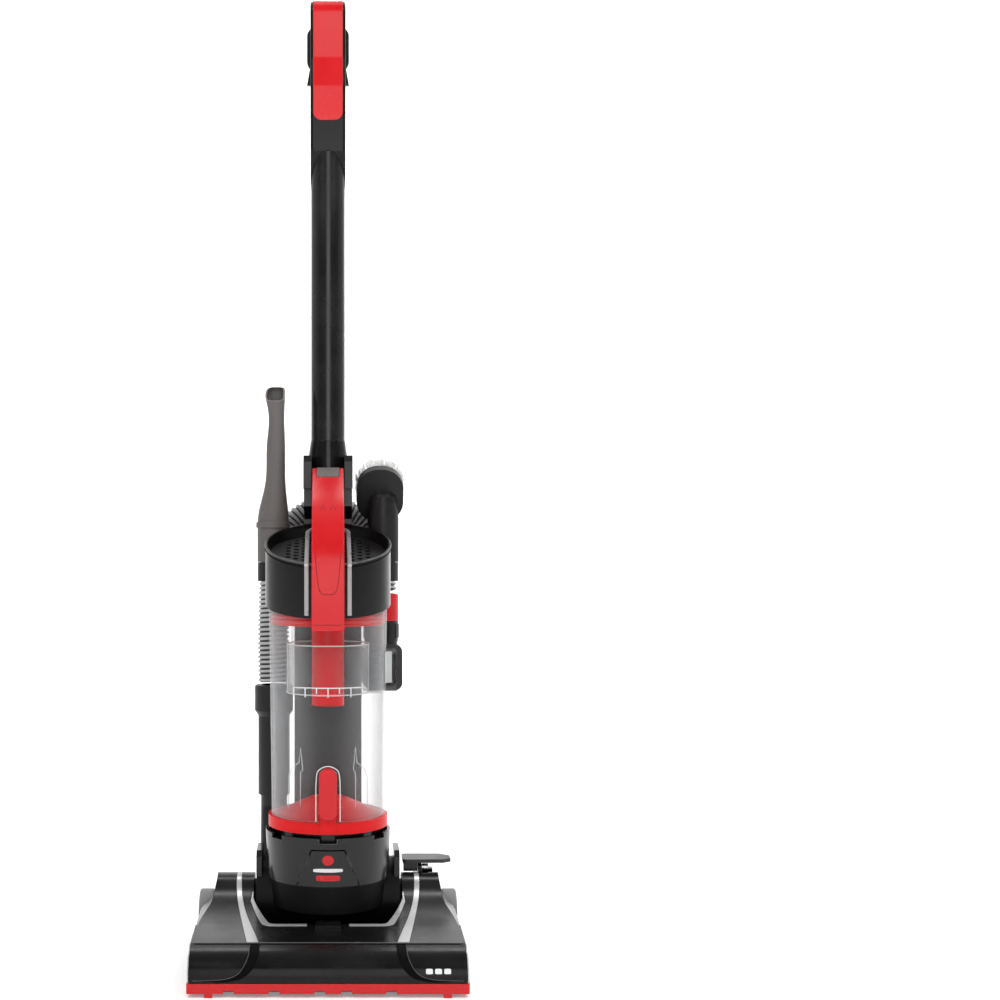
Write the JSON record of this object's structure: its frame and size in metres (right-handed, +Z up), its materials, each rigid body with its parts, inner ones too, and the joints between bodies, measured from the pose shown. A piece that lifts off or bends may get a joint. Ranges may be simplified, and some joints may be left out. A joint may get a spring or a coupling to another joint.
{
  "type": "upright vacuum cleaner",
  "caption": "Upright bagless vacuum with reclining body, clear cyclone cup under a red carry handle, powered brush head, loop grip on a tube, ribbed hose and stowed tools.",
  "frame": {"origin": "on the floor, under the middle of the object's box", "axes": "+Z up, the front with the brush head faces -Y, +X to the right as seen from the front"},
  "size_m": [0.292, 0.284, 1.0617],
  "materials": {
    "black_gloss": "gloss moulded plastic",
    "black_matte": "fine satin moulded plastic",
    "red_gloss": "gloss moulded plastic",
    "red_clear": "tinted clear plastic",
    "cup_clear": "clear plastic",
    "silver": "silver paint on plastic",
    "tube_black": "black powder coat",
    "steel": "plain steel",
    "grey_plastic": "warm grey moulded plastic",
    "tyre_grey": "soft grey tyre",
    "bristle_white": "nylon bristle",
    "bristle_black": "nylon bristle",
    "hose_grey": "ribbed flexible plastic",
    "belt_rubber": "flat rubber belt",
    "foam": "open foam",
    "filter_paper": "pleated filter"
  },
  "bodies": {
    "foot": {"foot_cover": "black_gloss", "foot_base": "black_matte", "cover_stripes": "silver", "recess_trim": "silver", "bumper_strip": "red_gloss", "side_trims": "silver", "sole_plate": "black_matte", "foot_screws": "steel", "brush_end_caps": "black_matte", "foot_duct": "black_matte", "wheel_axles": "steel", "drive_belt": "belt_rubber", "pedal_pin": "steel", "pedal_spring": "steel"},
    "left_wheel_body": {"left_wheel": "black_matte", "left_wheel_tyre": "tyre_grey"},
    "right_wheel_body": {"right_wheel": "black_matte", "right_wheel_tyre": "tyre_grey"},
    "brush": {"brush_roll": "red_gloss", "brush_bristles": "bristle_black"},
    "pedal_body": {"pedal": "grey_plastic"},
    "body": {"motor_casing": "black_matte", "side_ears": "black_gloss", "motor_housing": "black_gloss", "badge_panel": "black_gloss", "exhaust_filter": "filter_paper", "motor_stator": "steel", "motor_bearings": "steel", "spine": "black_gloss", "lower_duct": "black_matte", "hose_wand": "black_matte", "hose": "hose_grey", "hose_cuff": "red_gloss", "twist_lock": "black_matte", "inlet_elbow": "black_gloss", "neck_socket": "black_gloss", "tool_pegs": "black_matte", "handle_tube": "tube_black", "grip_shell": "black_gloss", "grip_inlay": "red_gloss", "hook_lower": "black_matte", "cord_gland": "black_matte", "body_screws": "steel"},
    "rotor": {"motor_rotor": "steel"},
    "hook": {"cord_hook": "black_matte"},
    "rocker": {"power_rocker": "red_gloss"},
    "crevice": {"crevice_tool": "grey_plastic"},
    "duster": {"brush_tool": "black_matte", "brush_tool_bristles": "bristle_white"},
    "cup": {"cup_wall": "cup_clear", "cup_lid": "red_clear", "cup_collar": "black_gloss", "separator": "red_clear", "inner_skirt": "cup_clear", "filter_grille": "black_matte", "cup_prefilter": "foam", "carry_handle": "red_gloss", "trim_rails": "silver"},
    "latch": {"lid_latch": "red_gloss"},
    "button": {"release_button": "grey_plastic"}
  },
  "joints": [
    {"name": "recline", "type": "hinge", "parent": "foot", "child": "body", "pos_m": [0, 0.055, 0.058], "axis": [-1, 0, 0], "range_deg": [0, 75]},
    {"name": "left_wheel_spin", "type": "hinge", "parent": "foot", "child": "left_wheel_body", "pos_m": [-0.1365, 0.088, 0.028], "axis": [1, 0, 0], "continuous": true},
    {"name": "right_wheel_spin", "type": "hinge", "parent": "foot", "child": "right_wheel_body", "pos_m": [0.1365, 0.088, 0.028], "axis": [1, 0, 0], "continuous": true},
    {"name": "brush_spin", "type": "hinge", "parent": "foot", "child": "brush", "pos_m": [0, -0.102, 0.0205], "axis": [1, 0, 0], "continuous": true},
    {"name": "motor_spin", "type": "hinge", "parent": "body", "child": "rotor", "pos_m": [0, 0.055, 0.058], "axis": [1, 0, 0], "continuous": true},
    {"name": "pedal_press", "type": "hinge", "parent": "foot", "child": "pedal_body", "pos_m": [0.1, 0.062, 0.0865], "axis": [-1, 0, 0], "range_deg": [0, 8], "stiffness_Nm_per_rad": 1.2, "springref_deg": -14.32},
    {"name": "cup_removal", "type": "slide", "parent": "body", "child": "cup", "axis": [0, -0.9397, 0.342], "range_m": [0, 0.12]},
    {"name": "release_press", "type": "slide", "parent": "cup", "child": "button", "axis": [0, 0, -1], "range_m": [0, 0.004], "stiffness_N_per_m": 600, "springref_m": -0.004},
    {"name": "lid_latch_press", "type": "hinge", "parent": "cup", "child": "latch", "pos_m": [0, -0.0482, 0.172], "axis": [-1, 0, 0], "range_deg": [0, 5], "stiffness_Nm_per_rad": 1.5, "springref_deg": -5.73},
    {"name": "crevice_tool_lift", "type": "slide", "parent": "body", "child": "crevice", "axis": [0, 0, 1], "range_m": [0, 0.06]},
    {"name": "brush_tool_lift", "type": "slide", "parent": "body", "child": "duster", "axis": [0, 0, 1], "range_m": [0, 0.06]},
    {"name": "cord_hook_turn", "type": "hinge", "parent": "body", "child": "hook", "pos_m": [0, 0.125, 1.015], "axis": [0, 1, 0], "range_deg": [0, 180]},
    {"name": "power_rocker_press", "type": "hinge", "parent": "body", "child": "rocker", "pos_m": [0, 0.1165, 0.33], "axis": [-1, 0, 0], "range_deg": [0, 16]}
  ],
  "couplings": [
    {"joint": "brush_spin", "follows": "motor_spin", "ratio": 0.6111}
  ]
}
